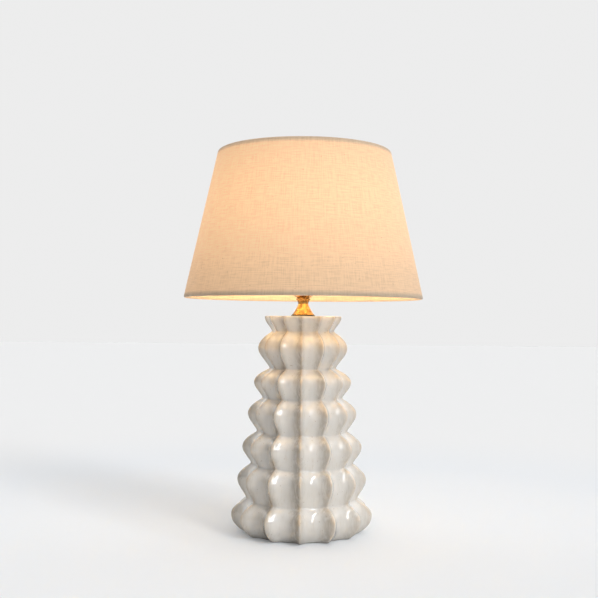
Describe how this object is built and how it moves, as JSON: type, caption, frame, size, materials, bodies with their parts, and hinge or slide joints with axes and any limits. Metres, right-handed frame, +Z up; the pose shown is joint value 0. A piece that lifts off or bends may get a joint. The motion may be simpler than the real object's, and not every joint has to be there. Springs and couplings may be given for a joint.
{
  "type": "table lamp",
  "caption": "Table lamp: waved, fluted glazed ceramic base, brass neck and switched lampholder, conical linen shade on a spoked fitter, opal bulb.",
  "frame": {"origin": "on the table surface, under the middle of the ceramic base", "axes": "+Z up along the lamp's axis; -Y is the front, where one ridge of the ceramic faces; the cord inlet is at the rear, in the flute opposite that ridge"},
  "size_m": [0.3499, 0.35, 0.556],
  "materials": {
    "felt": "pressed felt",
    "glaze": "glossy warm white glaze, honey where it thins on the ridges",
    "black_rubber": "matte",
    "brass": "aged satin brass",
    "zinc_steel": "zinc plated",
    "white_plastic": "satin moulded",
    "black_plastic": "satin moulded",
    "porcelain": "white electrical porcelain",
    "nickel": "nickel plated",
    "contact_brass": "bright brass strip",
    "white_wire": "white powder coat",
    "lining": "matte translucent shade lining",
    "linen": "natural linen, plain slubby weave",
    "opal": "frosted opal globe",
    "board_white": "solder mask",
    "board_green": "solder mask"
  },
  "bodies": {
    "base": {"felt_pad": "felt", "ceramic_base": "glaze", "cord_grommet": "black_rubber", "neck_gasket": "black_rubber", "brass_neck": "brass", "neck_lock_ring": "brass", "threaded_tube": "zinc_steel", "tube_end_bush": "white_plastic", "inner_washer": "zinc_steel", "spring_washer": "zinc_steel", "tube_nut": "zinc_steel", "lampholder_cap": "brass", "holder_nut": "zinc_steel", "lampholder_body": "brass", "holder_insert": "porcelain", "insulating_sleeve": "black_plastic", "screw_shell": "nickel", "centre_contact": "contact_brass", "shell_contact": "contact_brass", "terminal_screws": "contact_brass"},
    "switch": {"switch_bar": "brass", "switch_knobs": "black_plastic", "switch_slider": "white_plastic"},
    "shade_ring": {"shade_ring": "brass"},
    "shade": {"fitter_ring": "white_wire", "fitter_spokes": "white_wire", "bottom_wire_ring": "white_wire", "top_wire_ring": "white_wire", "shade_lining": "lining", "shade_linen": "linen"},
    "bulb": {"bulb_globe": "opal", "bulb_body": "white_plastic", "led_board": "board_white", "driver_board": "board_green", "bulb_cap": "nickel", "bulb_insulator": "black_plastic", "bulb_tip_contact": "nickel"}
  },
  "joints": [
    {"name": "switch_push", "type": "slide", "parent": "base", "child": "switch", "axis": [-1, 0, 0], "range_m": [0, 0.006]},
    {"name": "shade_turn", "type": "hinge", "parent": "base", "child": "shade", "pos_m": [0, 0, 0.372], "axis": [0, 0, 1], "continuous": true},
    {"name": "shade_ring_turn", "type": "hinge", "parent": "base", "child": "shade_ring", "pos_m": [0, 0, 0.377], "axis": [0, 0, 1], "continuous": true},
    {"name": "bulb_unscrew", "type": "slide", "parent": "base", "child": "bulb", "axis": [0, 0, 1], "range_m": [0, 0.03]}
  ]
}
